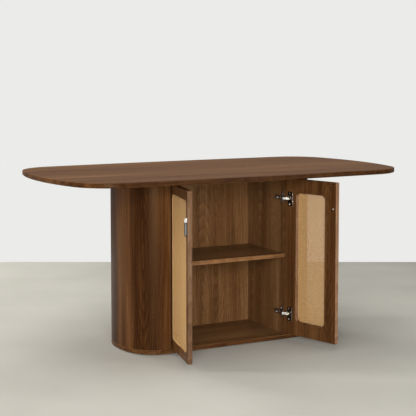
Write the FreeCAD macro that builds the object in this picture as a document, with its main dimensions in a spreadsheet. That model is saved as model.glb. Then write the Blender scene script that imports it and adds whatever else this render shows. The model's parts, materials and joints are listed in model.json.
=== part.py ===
import FreeCAD, Part

import math
import os

import Sketcher
from FreeCAD import Placement, Rotation, Vector

# Dining table on a drum-shaped storage cabinet, in millimetres.
# +Z is up, +X runs along the table, -Y is the side with the doors.
# The origin is on the floor under the middle of the cabinet.
# The doors are modelled open, against the stops of their hinges.

SIZES = {
    # table top: four bowed edges, round corners, eased rim
    "table_height": 762, "top_length": 1620, "top_width": 882, "top_thickness": 20,
    "top_side_radius": 12700, "top_end_radius": 1150, "top_corner_radius": 182,
    "top_rim_radius": 3.5,
    # cabinet drum: bottom plate, curved ends, flat back, top plate
    "base_length": 915, "base_depth": 394, "base_end_radius": 305,
    "base_corner_radius": 142, "plate_thickness": 18, "glide_height": 4,
    "wall_thickness": 15, "seam_chamfer": 0.8, "opening_width": 594,
    # carcass inside the drum
    "side_panel_thickness": 16, "carcass_setback": 22, "back_panel_thickness": 12,
    "back_cavity": 20, "shelf_thickness": 18, "shelf_top_height": 384,
    "shelf_side_gap": 0.5, "shelf_edge_radius": 1, "shelf_pin_diameter": 5, "shelf_pin_depth": 9,
    "shelf_pin_reach": 8, "shelf_pin_inset": 50, "pin_fit": 0.1,
    "jamb_width": 20, "jamb_depth": 30, "former_thickness": 15,
    "lower_former_height": 240, "upper_former_height": 480,
    "batten_height": 40, "batten_inset": 90, "stop_rail_width": 18, "stop_rail_height": 14,
    # doors: one panel each, an opening through it and a wider rebate for the cane in front
    "door_thickness": 20, "door_side_reveal": 2.5, "door_meeting_gap": 3,
    "door_bottom_gap": 6, "door_top_gap": 2, "door_edge_radius": 1,
    "inner_stile": 62, "inner_rail": 61, "inner_corner_radius": 22,
    "outer_stile": 20, "outer_rail": 39, "outer_corner_radius": 18,
    "rebate_depth": 4, "cane_thickness": 1.2, "cane_fit": 0.3,
    "spline_width": 4, "spline_height": 2.6,
    "left_door_open": 104, "right_door_open": 104,
    # virtual hinge axis, from the closed door's outer corner, and the cup hinges
    "axis_from_edge": 5, "axis_from_face": 3,
    "cup_diameter": 35, "cup_depth": 12, "cup_wall": 1, "cup_edge_gap": 3, "cup_fit": 0.2,
    "hinge_from_door_end": 90, "flange_height": 62, "flange_width": 29, "flange_near_edge": 13.5,
    "flange_corner_radius": 3, "flange_rib_width": 4.5, "flange_rib_height": 1.4,
    "flange_rib_radius": 1.3, "flange_rib_inset": 1.5, "flange_rib_edge": 0.5,
    "flange_thickness": 1.2, "cup_screw_spacing": 48, "cup_screw_offset": 3, "cup_screw_head": 5.6,
    "arm_height": 16, "arm_depth": 9, "arm_length": 60, "arm_nose_height": 12.4,
    "arm_nose_width": 4.4, "arm_sheet": 1.2, "arm_setback": 8, "arm_crank": 4,
    "arm_crank_length": 10,
    "pivot_from_edge": 33.4, "pivot_below_face": 8.5, "pivot_pin_diameter": 2,
    "link_length": 19.1, "link_width": 4, "link_height": 9.2, "link_closed_angle": 161.7,
    "link_ratio": 0.7, "link_fit": 0.1, "fork_clearance": 1.4,
    "mount_plate_thickness": 4, "mount_plate_length": 48, "mount_plate_height": 14,
    "mount_plate_setback": 13, "mount_wing_height": 50, "mount_wing_width": 14,
    "mount_screw_spacing": 32, "mount_screw_setback": 20,
    # pendant pulls
    "pull_from_edge": 15, "pull_height": 601, "pull_pin_diameter": 2.6, "pull_pin_stand_off": 4.2,
    "pull_head_width": 12, "pull_head_rise": 13, "pull_nose_radius": 5, "pull_head_rim": 1.2,
    "pull_cheek": 2.6, "pull_slot_gap": 0.4, "pull_fit": 0.3, "pull_pin_fit": 0.16,
    "pull_screw_rise": 7.8, "pull_screw_grip": 6,
    "pull_drop_length": 55, "pull_drop_width": 15, "pull_drop_thickness": 7,
    "pull_shoulder_gap": 0.8, "pull_cap_height": 3, "pull_rim_radius": 1.5, "pull_eye_land": 0.1,
    # fasteners and feet
    "screw_shank": 3.8, "screw_head": 7.6, "screw_head_height": 2.4, "screw_length": 45,
    "small_screw_shank": 3, "small_screw_head": 6.6, "small_screw_head_height": 1.8,
    "small_screw_length": 12, "plate_screw_inset": 35,
    "insert_diameter": 10, "insert_length": 12, "bolt_diameter": 6, "bolt_fit": 0.4,
    "bolt_head_diameter": 13, "bolt_crown_diameter": 10, "bolt_head_height": 3.4,
    "bolt_socket_diameter": 4, "bolt_socket_depth": 2.4, "bolt_grip": 9,
    "bolt_reach_x": 225, "bolt_reach_y": 110,
    "glide_diameter": 28, "glide_foot_diameter": 25, "glide_stem_diameter": 8, "glide_stem_length": 12,
    "glide_reach_x": 270, "glide_reach_y": 140, "end_glide_reach": 400,
    "pull_screw_head": 6.6, "pull_screw_crown": 5.2, "pull_screw_head_height": 1.8,
    "bumper_diameter": 8, "bumper_gap": 0.2,
}

document = FreeCAD.newDocument("kitchen_table_with_storage_cabinet")
sheet = document.addObject("Spreadsheet::Sheet", "sizes")
for row, (name, number) in enumerate(SIZES.items(), start=1):
    sheet.set(f"A{row}", name)
    sheet.set(f"B{row}", str(number))
    sheet.setAlias(f"B{row}", name)
document.recompute()


class Size:
    """A length or angle: its number now, and the expression that keeps it tied to the sheet."""

    def __init__(self, text, number):
        self.text = text
        self.number = number

    def __add__(self, other):
        other = as_size(other)
        return Size(f"({self.text} + {other.text})", self.number + other.number)

    def __sub__(self, other):
        other = as_size(other)
        return Size(f"({self.text} - {other.text})", self.number - other.number)

    def __rsub__(self, other):
        return as_size(other) - self

    def __mul__(self, factor):
        factor = as_size(factor)
        return Size(f"({self.text} * {factor.text})", self.number * factor.number)

    def __truediv__(self, divisor):
        divisor = as_size(divisor)
        return Size(f"({self.text} / {divisor.text})", self.number / divisor.number)

    def __neg__(self):
        return self * -1

    __radd__ = __add__
    __rmul__ = __mul__


def as_size(value):
    if isinstance(value, Size):
        return value
    return Size(f"({value})", float(value))


def cell(name):
    return Size(f"sizes.{name}", float(getattr(sheet, name)))


def bind(thing, **properties):
    """Ties properties such as Length or Radius to sizes."""
    for name, size in properties.items():
        thing.setExpression(name, as_size(size).text)


def move(thing, x=0, y=0, z=0):
    for axis, size in (("x", x), ("y", y), ("z", z)):
        thing.setExpression(f"Placement.Base.{axis}", as_size(size).text)


# ---------------------------------------------------------------- derived sizes
half_top_width = cell("top_width") / 2
top_underside = cell("table_height") - cell("top_thickness")
plate_floor = cell("glide_height")
plate_top = plate_floor + cell("plate_thickness")
ceiling = top_underside - cell("plate_thickness")
room_height = ceiling - plate_top
half_base_depth = cell("base_depth") / 2
half_opening = cell("opening_width") / 2
wall = cell("wall_thickness")
wall_inside = half_base_depth - wall
inner_side_face = half_opening - cell("side_panel_thickness")
carcass_front = cell("carcass_setback") - half_base_depth
back_panel_rear = wall_inside - cell("back_cavity")
back_panel_front = back_panel_rear - cell("back_panel_thickness")

door_width = half_opening - cell("door_side_reveal") - cell("door_meeting_gap") / 2
door_bottom = plate_top + cell("door_bottom_gap")
door_height = room_height - cell("door_bottom_gap") - cell("door_top_gap")
door_edge_x = half_opening - cell("door_side_reveal")
outer_face_y = -1 * cell("axis_from_face")
inner_face_y = cell("door_thickness") - cell("axis_from_face")
axis_x = door_edge_x - cell("axis_from_edge")
axis_y = cell("axis_from_face") - half_base_depth
hinge_heights = (
    ("lower", door_bottom + cell("hinge_from_door_end")),
    ("upper", door_bottom + door_height - cell("hinge_from_door_end")),
)
SIDES = (("left", 1), ("right", -1))
OVERRUN = 1  # how far a cutter passes the faces that it cuts


# ---------------------------------------------------------------- sketch helpers
def new_body(label):
    body = document.addObject("PartDesign::Body", label)
    body.Label = label
    return body


def new_sketch(body, role, offset=0):
    """A sketch on one of the body's own origin planes, moved along the plane's normal."""
    sketch = body.newObject("Sketcher::SketchObject", "Outline")
    plane = [item for item in body.Origin.OriginFeatures if item.Role == role][0]
    sketch.AttachmentSupport = (plane, [""])
    sketch.MapMode = "FlatFace"
    sketch.setExpression("AttachmentOffset.Base.z", as_size(offset).text)
    return sketch


def dimension(sketch, kind, places, size):
    """One dimension of a sketch, tied to the sheet."""
    size = as_size(size)
    index = sketch.addConstraint(Sketcher.Constraint(kind, *places, size.number))
    sketch.renameConstraint(index, f"size_{index}")
    sketch.setExpression(f"Constraints.size_{index}", size.text)


def draw_circle(sketch, x, y, diameter):
    x, y, diameter = as_size(x), as_size(y), as_size(diameter)
    centre = Vector(x.number, y.number, 0)
    circle = sketch.addGeometry(Part.Circle(centre, Vector(0, 0, 1), diameter.number / 2))
    dimension(sketch, "Diameter", (circle,), diameter)
    dimension(sketch, "DistanceX", (-1, 1, circle, 3), x)
    dimension(sketch, "DistanceY", (-1, 1, circle, 3), y)


def draw_polygon(sketch, corners):
    """Straight lines round the corners, each corner placed by two dimensions."""
    corners = [(as_size(x), as_size(y)) for x, y in corners]
    points = [Vector(x.number, y.number, 0) for x, y in corners]
    first = sketch.GeometryCount
    count = len(points)
    for index, point in enumerate(points):
        sketch.addGeometry(Part.LineSegment(point, points[(index + 1) % count]))
    for index, (x, y) in enumerate(corners):
        line = first + index
        after = first + (index + 1) % count
        sketch.addConstraint(Sketcher.Constraint("Coincident", line, 2, after, 1))
        dimension(sketch, "DistanceX", (-1, 1, line, 1), x)
        dimension(sketch, "DistanceY", (-1, 1, line, 1), y)


def draw_rectangle(sketch, x_low, x_high, y_low, y_high):
    draw_polygon(sketch, [(x_low, y_low), (x_high, y_low), (x_high, y_high), (x_low, y_high)])


def draw_rounded_rectangle(sketch, x_low, x_high, y_low, y_high, radius):
    """Four lines and four equal tangent arcs."""
    x_low, x_high, y_low, y_high = [as_size(v) for v in (x_low, x_high, y_low, y_high)]
    radius = as_size(radius)
    left, right, low, high = x_low.number, x_high.number, y_low.number, y_high.number
    r = radius.number
    normal = Vector(0, 0, 1)
    first = sketch.GeometryCount
    lines = (
        (Vector(left + r, low, 0), Vector(right - r, low, 0)),
        (Vector(right, low + r, 0), Vector(right, high - r, 0)),
        (Vector(right - r, high, 0), Vector(left + r, high, 0)),
        (Vector(left, high - r, 0), Vector(left, low + r, 0)),
    )
    centres = ((right - r, low + r), (right - r, high - r), (left + r, high - r), (left + r, low + r))
    for start, end in lines:
        sketch.addGeometry(Part.LineSegment(start, end))
    for index, (x, y) in enumerate(centres):
        circle = Part.Circle(Vector(x, y, 0), normal, r)
        start_angle = (index - 1) * math.pi / 2
        sketch.addGeometry(Part.ArcOfCircle(circle, start_angle, start_angle + math.pi / 2))
    for index in range(4):
        line, arc, after = first + index, first + 4 + index, first + (index + 1) % 4
        sketch.addConstraint(Sketcher.Constraint("Tangent", line, 2, arc, 1))
        sketch.addConstraint(Sketcher.Constraint("Tangent", arc, 2, after, 1))
        if index:
            sketch.addConstraint(Sketcher.Constraint("Equal", first + 4, arc))
    for index, direction in enumerate(("Horizontal", "Vertical", "Horizontal", "Vertical")):
        sketch.addConstraint(Sketcher.Constraint(direction, first + index))
    dimension(sketch, "Radius", (first + 4,), radius)
    dimension(sketch, "DistanceY", (-1, 1, first, 1), y_low)
    dimension(sketch, "DistanceX", (-1, 1, first + 1, 1), x_high)
    dimension(sketch, "DistanceY", (-1, 1, first + 2, 1), y_high)
    dimension(sketch, "DistanceX", (-1, 1, first + 3, 1), x_low)


def draw_drum_outline(sketch, inset=0):
    """Two straight sides, two bowed ends and four round corners, all tangent."""
    inset = as_size(inset)
    end_centre = cell("base_length") / 2 - cell("base_end_radius")
    end_radius = cell("base_end_radius") - inset
    corner_radius = cell("base_corner_radius") - inset
    half_depth = half_base_depth - inset
    e, r_end, r_corner, y = [
        size.number for size in (end_centre, end_radius, corner_radius, half_depth)]
    corner_y = y - r_corner
    corner_x = e + math.sqrt((r_end - r_corner) ** 2 - corner_y**2)
    turn = math.atan2(corner_y, corner_x - e)
    quarter, half = math.pi / 2, math.pi
    bows = (
        (-corner_x, corner_y, r_corner, quarter, half - turn),
        (-e, 0, r_end, half - turn, half + turn),
        (-corner_x, -corner_y, r_corner, half + turn, 3 * quarter),
        (corner_x, -corner_y, r_corner, -quarter, -turn),
        (e, 0, r_end, -turn, turn),
        (corner_x, corner_y, r_corner, turn, quarter),
    )
    arcs = [Part.ArcOfCircle(Part.Circle(Vector(x, y_arc, 0), Vector(0, 0, 1), r), start, end)
            for x, y_arc, r, start, end in bows]
    back = Part.LineSegment(Vector(corner_x, y, 0), Vector(-corner_x, y, 0))
    front = Part.LineSegment(Vector(-corner_x, -y, 0), Vector(corner_x, -y, 0))
    sketch.addGeometry([back] + arcs[:3] + [front] + arcs[3:])
    for index in range(8):
        sketch.addConstraint(Sketcher.Constraint("Tangent", index, 2, (index + 1) % 8, 1))
    for line in (0, 4):
        sketch.addConstraint(Sketcher.Constraint("Horizontal", line))
    for corner in (3, 5, 7):
        sketch.addConstraint(Sketcher.Constraint("Equal", 1, corner))
    for arc in (2, 6):
        sketch.addConstraint(Sketcher.Constraint("PointOnObject", arc, 3, -1))
        dimension(sketch, "Radius", (arc,), end_radius)
    dimension(sketch, "Radius", (1,), corner_radius)
    dimension(sketch, "DistanceX", (2, 3, -1, 1), end_centre)
    dimension(sketch, "DistanceX", (-1, 1, 6, 3), end_centre)
    dimension(sketch, "DistanceY", (-1, 1, 0, 1), half_depth)
    dimension(sketch, "DistanceY", (4, 1, -1, 1), half_depth)


def draw_top_outline(sketch):
    """Four shallow bows, one on each side of the table top, that meet at its corners."""
    side_centre = cell("top_side_radius") - half_top_width
    end_centre = cell("top_end_radius") - cell("top_length") / 2
    side_radius, end_radius = cell("top_side_radius"), cell("top_end_radius")
    # corner: where the back bow and the right-hand bow cross
    gap = Vector(-end_centre.number, side_centre.number, 0)
    along = (side_radius.number**2 - end_radius.number**2 + gap.Length**2) / (2 * gap.Length)
    aside = math.sqrt(side_radius.number**2 - along**2)
    unit = gap / gap.Length
    corner = Vector(0, -side_centre.number, 0) + unit * along + Vector(unit.y, -unit.x, 0) * aside
    side_angle = math.atan2(corner.x, corner.y + side_centre.number)
    end_angle = math.atan2(corner.y, corner.x + end_centre.number)
    bows = (
        (Vector(0, -side_centre.number, 0), side_radius.number, math.pi / 2, side_angle),
        (Vector(end_centre.number, 0, 0), end_radius.number, math.pi, end_angle),
        (Vector(0, side_centre.number, 0), side_radius.number, -math.pi / 2, side_angle),
        (Vector(-end_centre.number, 0, 0), end_radius.number, 0, end_angle),
    )
    for centre, radius, middle, half_angle in bows:
        circle = Part.Circle(centre, Vector(0, 0, 1), radius)
        sketch.addGeometry(Part.ArcOfCircle(circle, middle - half_angle, middle + half_angle))
    for index in range(4):
        sketch.addConstraint(Sketcher.Constraint("Coincident", index, 2, (index + 1) % 4, 1))
    for arc, axis, radius in ((0, -2, side_radius), (1, -1, end_radius), (2, -2, side_radius),
                              (3, -1, end_radius)):
        sketch.addConstraint(Sketcher.Constraint("PointOnObject", arc, 3, axis))
        dimension(sketch, "Radius", (arc,), radius)
    dimension(sketch, "DistanceY", (0, 3, -1, 1), side_centre)
    dimension(sketch, "DistanceX", (-1, 1, 1, 3), end_centre)
    dimension(sketch, "DistanceY", (-1, 1, 2, 3), side_centre)
    dimension(sketch, "DistanceX", (3, 3, -1, 1), end_centre)


# ---------------------------------------------------------------- feature helpers
def pad(body, sketch, length, reverse=False, middle=False):
    feature = body.newObject("PartDesign::Pad", "Pad")
    feature.Profile = sketch
    bind(feature, Length=length)
    feature.Reversed = reverse
    feature.Midplane = middle
    document.recompute()
    return feature


def pocket(body, sketch, depth=None, reverse=False, middle=False):
    """A cut. Without a depth it goes through everything."""
    before = body.Shape.Volume
    feature = body.newObject("PartDesign::Pocket", "Pocket")
    feature.Profile = sketch
    if depth is None:
        feature.Type = "ThroughAll"
    else:
        bind(feature, Length=depth)
    feature.Reversed = reverse
    feature.Midplane = middle
    document.recompute()
    if body.Shape.Volume > before - 1e-3:
        raise RuntimeError(f"{body.Label}: {feature.Name} cuts nothing")
    return feature


def edges_where(shape, test):
    return [f"Edge{index}" for index, edge in enumerate(shape.Edges, start=1) if test(edge)]


def is_upright(edge):
    start, end = edge.Vertexes[0].Point, edge.Vertexes[-1].Point
    return (start - end).Length > 1e-6 and math.hypot(start.x - end.x, start.y - end.y) < 1e-6


def lies_at(edge, axis, level):
    box = edge.BoundBox
    low, high = getattr(box, f"{axis.upper()}Min"), getattr(box, f"{axis.upper()}Max")
    return abs(low - level) < 1e-6 and abs(high - level) < 1e-6


def dress(body, kind, base, test, size):
    """A Fillet or Chamfer on the edges of the last feature that pass the test."""
    feature = body.newObject(f"PartDesign::{kind}", kind)
    feature.Base = (base, edges_where(base.Shape, test))
    bind(feature, **{"Radius" if kind == "Fillet" else "Size": size})
    document.recompute()
    return feature


def box(x_low, x_high, y_low, y_high, z_low, z_high):
    """A plain block between six faces."""
    block = document.addObject("Part::Box", "Block")
    x_low, x_high, y_low, y_high, z_low, z_high = [
        as_size(v) for v in (x_low, x_high, y_low, y_high, z_low, z_high)]
    bind(block, Length=x_high - x_low, Width=y_high - y_low, Height=z_high - z_low)
    move(block, x_low, y_low, z_low)
    return block


AXES = {"+x": Rotation(Vector(0, 1, 0), 90), "-x": Rotation(Vector(0, 1, 0), -90),
        "+y": Rotation(Vector(1, 0, 0), -90), "-y": Rotation(Vector(1, 0, 0), 90),
        "+z": Rotation(), "-z": Rotation(Vector(1, 0, 0), 180)}


def rod(diameter, length, x, y, z, axis="+z"):
    """A round rod that starts at a point and runs along an axis."""
    cylinder = document.addObject("Part::Cylinder", "Rod")
    bind(cylinder, Radius=as_size(diameter) / 2, Height=length)
    cylinder.Placement = Placement(Vector(), AXES[axis])
    move(cylinder, x, y, z)
    return cylinder


def cone(base_diameter, top_diameter, height, x, y, z, axis="+z"):
    part = document.addObject("Part::Cone", "Cone")
    bind(part, Radius1=as_size(base_diameter) / 2, Radius2=as_size(top_diameter) / 2, Height=height)
    part.Placement = Placement(Vector(), AXES[axis])
    move(part, x, y, z)
    return part


def step(axis, point, amount):
    """The point moved along a signed axis."""
    sign = 1 if axis[0] == "+" else -1
    return tuple(
        as_size(value) + as_size(amount) * sign if axis[1] == letter else as_size(value)
        for letter, value in zip("xyz", point))


def countersunk_screw(point, axis, shank, head, head_height, length):
    """A screw whose flat head is flush at the point, and whose shank runs along the axis."""
    top = cone(head, shank, head_height, *point, axis)
    stem = rod(shank, as_size(length) - head_height, *step(axis, point, head_height), axis)
    return fuse([top, stem])


def screw_hole(point, axis, shank, head, head_height, length, fit):
    """The cutter for such a screw: the same form, a little wider and longer."""
    top = cone(as_size(head) + fit, as_size(shank) + fit, head_height, *point, axis)
    stem = rod(as_size(shank) + fit, as_size(length) - head_height + OVERRUN,
               *step(axis, point, head_height), axis)
    return fuse([top, stem])


def fuse(shapes):
    if len(shapes) == 1:
        return shapes[0]
    union = document.addObject("Part::MultiFuse", "Union")
    union.Shapes = shapes
    return union


def cut(base, tools):
    result = document.addObject("Part::Cut", "Cut")
    result.Base = base
    result.Tool = fuse(tools)
    return result


def group(label, shapes):
    """Separate solids that share one node."""
    compound = document.addObject("Part::Compound", label)
    compound.Links = shapes
    compound.Label = label
    return compound


subparts = []


def keep(thing, label):
    thing.Label = label
    subparts.append(thing)
    return thing


def mirrored(side, low, high):
    """A span of x for the left side of the cabinet, or its mirror image for the right side."""
    if side == 1:
        return as_size(low), as_size(high)
    return -as_size(high), -as_size(low)


# ---------------------------------------------------------------- table top and its fixings
BOLT_PLACES = [(column, line) for column in (-1, 0, 1) for line in (-1, 1)]


def bolt_places():
    return [(cell("bolt_reach_x") * column, cell("bolt_reach_y") * line)
            for column, line in BOLT_PLACES]


def make_table_top():
    body = new_body("table_top")
    outline = new_sketch(body, "XY_Plane", top_underside)
    draw_top_outline(outline)
    slab = pad(body, outline, cell("top_thickness"))
    corners = dress(body, "Fillet", slab, is_upright, cell("top_corner_radius"))
    levels = (top_underside.number, top_underside.number + cell("top_thickness").number)
    dress(body, "Fillet", corners, lambda edge: any(lies_at(edge, "z", z) for z in levels),
          cell("top_rim_radius"))
    sockets = new_sketch(body, "XY_Plane", top_underside)
    for x, y in bolt_places():
        draw_circle(sockets, x, y, cell("insert_diameter"))
    pocket(body, sockets, cell("insert_length"), reverse=True)
    return keep(body, "table_top")


def make_top_fixings():
    """Threaded inserts in the table top, and the bolts that draw it down on the top plate."""
    inserts, bolts = [], []
    for x, y in bolt_places():
        shell = rod(cell("insert_diameter"), cell("insert_length"), x, y, top_underside)
        bore = rod(cell("bolt_diameter") + cell("bolt_fit"), cell("insert_length"), x, y,
                   top_underside)
        inserts.append(cut(shell, [bore]))
        head_bottom = ceiling - cell("bolt_head_height")
        head = cone(cell("bolt_crown_diameter"), cell("bolt_head_diameter"),
                    cell("bolt_head_height"), x, y, head_bottom)
        stem = rod(cell("bolt_diameter"), cell("plate_thickness") + cell("bolt_grip"), x, y, ceiling)
        socket = rod(cell("bolt_socket_diameter"), cell("bolt_socket_depth"), x, y, head_bottom)
        bolts.append(cut(fuse([head, stem]), [socket]))
    keep(group("top_inserts", inserts), "top_inserts")
    keep(group("top_bolts", bolts), "top_bolts")


# ---------------------------------------------------------------- drum
def rounded_drum(body, level, height, inset=0):
    outline = new_sketch(body, "XY_Plane", level)
    draw_drum_outline(outline, inset)
    return pad(body, outline, height)


def panel_screw_places():
    """Three screws along the bottom and the top edge of each side panel."""
    middle = half_opening - cell("side_panel_thickness") / 2
    reach_front = carcass_front + cell("plate_screw_inset")
    reach_back = wall_inside - cell("plate_screw_inset")
    lines = (reach_front, (reach_front + reach_back) / 2, reach_back)
    return [(middle * side, y) for side in (-1, 1) for y in lines]


def glide_places():
    corners = [(cell("glide_reach_x") * i, cell("glide_reach_y") * j)
               for i in (-1, 1) for j in (-1, 1)]
    ends = [(cell("end_glide_reach") * i, as_size(0)) for i in (-1, 1)]
    return [(as_size(0), as_size(0))] + corners + ends


def chamfer_rims(body, base, level, height):
    levels = (level.number, level.number + height.number)
    return dress(body, "Chamfer", base, lambda edge: any(lies_at(edge, "z", z) for z in levels),
                 cell("seam_chamfer"))


def make_plates():
    bottom = new_body("bottom_plate")
    slab = rounded_drum(bottom, plate_floor, cell("plate_thickness"))
    chamfer_rims(bottom, slab, plate_floor, cell("plate_thickness"))
    sockets = new_sketch(bottom, "XY_Plane", plate_floor)
    for x, y in glide_places():
        draw_circle(sockets, x, y, cell("glide_stem_diameter"))
    pocket(bottom, sockets, cell("glide_stem_length"), reverse=True)
    keep(drill_for_panel_screws(bottom, plate_floor, "+z"), "base_bottom_plate")

    top = new_body("top_plate")
    slab = rounded_drum(top, ceiling, cell("plate_thickness"))
    chamfer_rims(top, slab, ceiling, cell("plate_thickness"))
    holes = new_sketch(top, "XY_Plane", ceiling)
    for x, y in bolt_places():
        draw_circle(holes, x, y, cell("bolt_diameter") + cell("bolt_fit"))
    pocket(top, holes, cell("plate_thickness"), reverse=True)
    keep(drill_for_panel_screws(top, top_underside, "-z"), "base_top_plate")


def panel_screw_form(builder, level, axis, *extra):
    return [builder((x, y, level), axis, cell("screw_shank"), cell("screw_head"),
                    cell("screw_head_height"), cell("screw_length"), *extra)
            for x, y in panel_screw_places()]


def drill_for_panel_screws(plate, level, axis):
    return cut(plate, panel_screw_form(screw_hole, level, axis, cell("pin_fit")))


def make_panel_screws():
    screws = panel_screw_form(countersunk_screw, plate_floor, "+z")
    screws += panel_screw_form(countersunk_screw, top_underside, "-z")
    keep(group("panel_screws", screws), "panel_screws")


def make_glides():
    glides = []
    for x, y in glide_places():
        foot = cone(cell("glide_foot_diameter"), cell("glide_diameter"), cell("glide_height"),
                    x, y, 0)
        stem = rod(cell("glide_stem_diameter"), cell("glide_stem_length"), x, y, plate_floor)
        glides.append(fuse([foot, stem]))
    keep(group("floor_glides", glides), "floor_glides")


def keep_one_end(body, side):
    """Cuts the drum off beyond the opening's edge, which leaves one round end."""
    cutter = new_sketch(body, "XY_Plane", 0)
    far = cell("base_length")
    low, high = mirrored(side, -half_opening, far)
    draw_rectangle(cutter, low, high, -far, far)
    return pocket(body, cutter, reverse=True)


def make_end_wall(name, side):
    """A bent wall from the opening's edge, round the end, to the flat back wall."""
    body = new_body(f"{name}_end_wall")
    drum = rounded_drum(body, plate_top, room_height)
    chamfer_rims(body, drum, plate_top, room_height)
    hollow = new_sketch(body, "XY_Plane", plate_top)
    draw_drum_outline(hollow, wall)
    pocket(body, hollow, reverse=True)
    keep_one_end(body, side)
    return keep(body, f"{name}_end_wall")


def make_former_blank(side, height):
    """A flat former that the bent wall is glued round."""
    body = new_body("former")
    rounded_drum(body, plate_top + height, cell("former_thickness"), wall)
    keep_one_end(body, side)
    return body


def make_end_structure(name, side, end_wall):
    """The door jamb, the rear post and two formers inside one round end."""
    x_low, x_high = mirrored(side, -(half_opening + cell("jamb_width")), -half_opening)
    jamb_back = cell("jamb_depth") - wall_inside
    jamb = cut(box(x_low, x_high, -wall_inside, jamb_back, plate_top, ceiling), [end_wall])
    post_front = wall_inside - cell("jamb_depth")
    post = cut(box(x_low, x_high, post_front, wall_inside, plate_top, ceiling), [end_wall])
    keep(jamb, f"{name}_door_jamb")
    keep(post, f"{name}_rear_post")
    formers = []
    for height in (cell("lower_former_height"), cell("upper_former_height")):
        blank = make_former_blank(side, height)
        notches = [box(x_low, x_high, -half_base_depth, jamb_back, plate_top, ceiling),
                   box(x_low, x_high, post_front, half_base_depth, plate_top, ceiling)]
        formers.append(cut(blank, notches))
    keep(group(f"{name}_end_formers", formers), f"{name}_end_formers")


def make_back_wall():
    body = new_body("outer_back_wall")
    face = new_sketch(body, "XY_Plane", plate_top)
    draw_rectangle(face, -half_opening, half_opening, wall_inside, half_base_depth)
    slab = pad(body, face, room_height)
    levels = (plate_top.number, ceiling.number)
    dress(body, "Chamfer", slab, lambda edge: lies_at(edge, "y", half_base_depth.number)
          and any(lies_at(edge, "z", z) for z in levels), cell("seam_chamfer"))
    return keep(body, "outer_back_wall")


# ---------------------------------------------------------------- carcass
def shelf_pin_places():
    depth_low = carcass_front + cell("shelf_pin_inset")
    depth_high = back_panel_front - cell("shelf_pin_inset")
    height = cell("shelf_top_height") - cell("shelf_thickness") - cell("shelf_pin_diameter") / 2
    return [(y, height) for y in (depth_low, depth_high)]


def mount_screw_places():
    """Screws that hold the hinge mounting plates on a side panel."""
    y = carcass_front + cell("mount_screw_setback")
    return [(y, height + cell("mount_screw_spacing") / 2 * sign)
            for _, height in hinge_heights for sign in (-1, 1)]


def make_side_panel(name, side):
    x_low, x_high = mirrored(side, -half_opening, -inner_side_face)
    board = box(x_low, x_high, carcass_front, wall_inside, plate_top, ceiling)
    face_x = mirrored(side, -inner_side_face, -inner_side_face)[0]
    into = "-x" if side == 1 else "+x"
    holes = [rod(cell("shelf_pin_diameter") + cell("pin_fit"), cell("shelf_pin_depth"), face_x, y, z,
                 into) for y, z in shelf_pin_places()]
    holes += [rod(cell("small_screw_shank") + cell("pin_fit"), cell("small_screw_length"),
                  face_x, y, z, into) for y, z in mount_screw_places()]
    own = [place for place in panel_screw_places() if place[0].number * side < 0]
    for x, y in own:
        for level, axis in ((plate_floor, "+z"), (top_underside, "-z")):
            holes.append(rod(cell("screw_shank") + cell("pin_fit"), cell("screw_length") + OVERRUN,
                             x, y, level, axis))
    return keep(cut(board, holes), f"{name}_side_panel")


def make_inner_back():
    panel = box(-inner_side_face, inner_side_face, back_panel_front, back_panel_rear, plate_top,
                ceiling)
    keep(panel, "inner_back_panel")
    battens = []
    low = plate_top + cell("batten_inset")
    high = ceiling - cell("batten_inset") - cell("batten_height")
    for z in (low, high):
        battens.append(box(-inner_side_face, inner_side_face, back_panel_rear, wall_inside, z,
                           z + cell("batten_height")))
    keep(group("back_battens", battens), "back_battens")
    rail = box(-inner_side_face, inner_side_face, carcass_front,
               carcass_front + cell("stop_rail_width"), ceiling - cell("stop_rail_height"), ceiling)
    keep(rail, "door_stop_rail")


def make_shelf():
    body = new_body("shelf")
    reach = inner_side_face - cell("shelf_side_gap")
    outline = new_sketch(body, "XY_Plane", cell("shelf_top_height"))
    draw_rectangle(outline, -reach, reach, carcass_front, back_panel_front - cell("shelf_side_gap"))
    board = pad(body, outline, cell("shelf_thickness"), reverse=True)
    front = carcass_front.number
    dress(body, "Fillet", board, lambda edge: lies_at(edge, "y", front) and not is_upright(edge),
          cell("shelf_edge_radius"))
    keep(body, "shelf")
    pins = []
    for side in (1, -1):
        face_x = -inner_side_face * side
        start = face_x - cell("shelf_pin_depth") * side
        axis = "+x" if side == 1 else "-x"
        for y, z in shelf_pin_places():
            pins.append(rod(cell("shelf_pin_diameter"),
                            cell("shelf_pin_depth") + cell("shelf_pin_reach"), start, y, z, axis))
    keep(group("shelf_pins", pins), "shelf_pins")


# ---------------------------------------------------------------- doors
# A door is drawn closed, from its virtual hinge axis, and then turned open about that axis.
# u runs from the door's hinge edge to its free edge, v from its outer face into the cabinet.
def door_x(side, u):
    return (as_size(u) - cell("axis_from_edge")) * side


def door_y(v):
    return as_size(v) - cell("axis_from_face")


def door_span(side, u_low, u_high):
    low, high = door_x(side, u_low), door_x(side, u_high)
    return (low, high) if side == 1 else (high, low)


def hang(thing, name, side):
    """Puts a piece that was drawn on the closed door where the open door is."""
    thing.Placement = Placement(Vector(), Rotation(Vector(0, 0, -side), 90))
    move(thing, -axis_x * side, axis_y, 0)
    thing.setExpression("Placement.Rotation.Angle", cell(f"{name}_door_open").text)
    return thing


def cup_centre_u():
    return cell("cup_edge_gap") + cell("cup_diameter") / 2


def cup_screw_places():
    u = cup_centre_u() + cell("cup_screw_offset")
    return [(u, height + cell("cup_screw_spacing") / 2 * sign)
            for _, height in hinge_heights for sign in (-1, 1)]


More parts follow.
